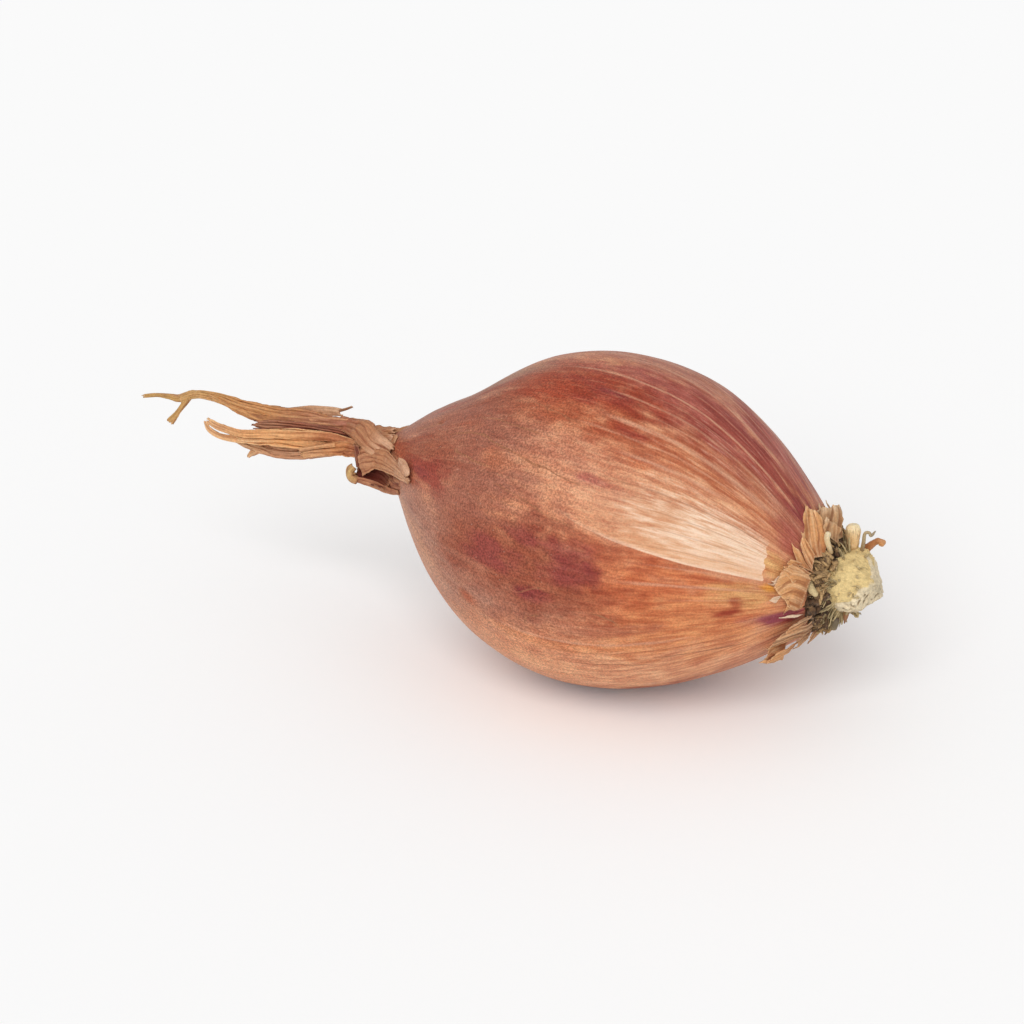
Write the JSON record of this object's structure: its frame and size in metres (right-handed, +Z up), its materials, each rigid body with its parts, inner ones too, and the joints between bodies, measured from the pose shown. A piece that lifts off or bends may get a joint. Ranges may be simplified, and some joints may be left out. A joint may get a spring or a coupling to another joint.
{
  "type": "shallot",
  "caption": "Whole unpeeled shallot lying on its side, with a tuft of dry leaves at the neck and a root plate with torn skin flakes.",
  "frame": {"origin": "centre of the small flat spot that the bulb rests on", "axes": "+X towards the root end, -X towards the neck, +Z up, -Y the side that shows in the usual view"},
  "size_m": [0.1074, 0.044, 0.0435],
  "materials": {
    "skin": "satin tan to maroon onion skin with fine pole to pole veins",
    "dry_leaf": "dry pleated ochre leaf, matt with fibres",
    "collar": "dry twisted leaf base, matt",
    "flake": "thin translucent tan skin flake",
    "plate": "pale fibrous cut root plate",
    "root": "dry translucent root",
    "soil": "dry dark soil crust"
  },
  "bodies": {
    "root": {"bulb": "skin", "neck_collar": "collar", "neck_band": "collar", "neck_pouch": "collar", "neck_tag": "collar", "leaf_upper": "dry_leaf", "leaf_back": "dry_leaf", "leaf_inner": "dry_leaf", "leaf_middle": "dry_leaf", "leaf_lower": "dry_leaf", "leaf_short": "dry_leaf", "root_plate": "plate", "root_crust": "soil", "root_stub_amber": "root", "root_stub_pale": "root", "root_curl": "root", "root_hook": "root", "root_thorn": "root", "root_nub": "root", "skin_flake_top": "flake", "skin_flake_upper": "flake", "skin_flake_sliver": "flake", "skin_flake_side": "flake", "skin_flake_front": "flake", "skin_flake_pale": "flake", "skin_flake_long": "flake", "skin_flake_bottom": "flake", "skin_flake_chip": "flake", "skin_flake_under": "flake", "skin_flake_rear_low": "flake", "skin_flake_rear": "flake"}
  },
  "joints": []
}
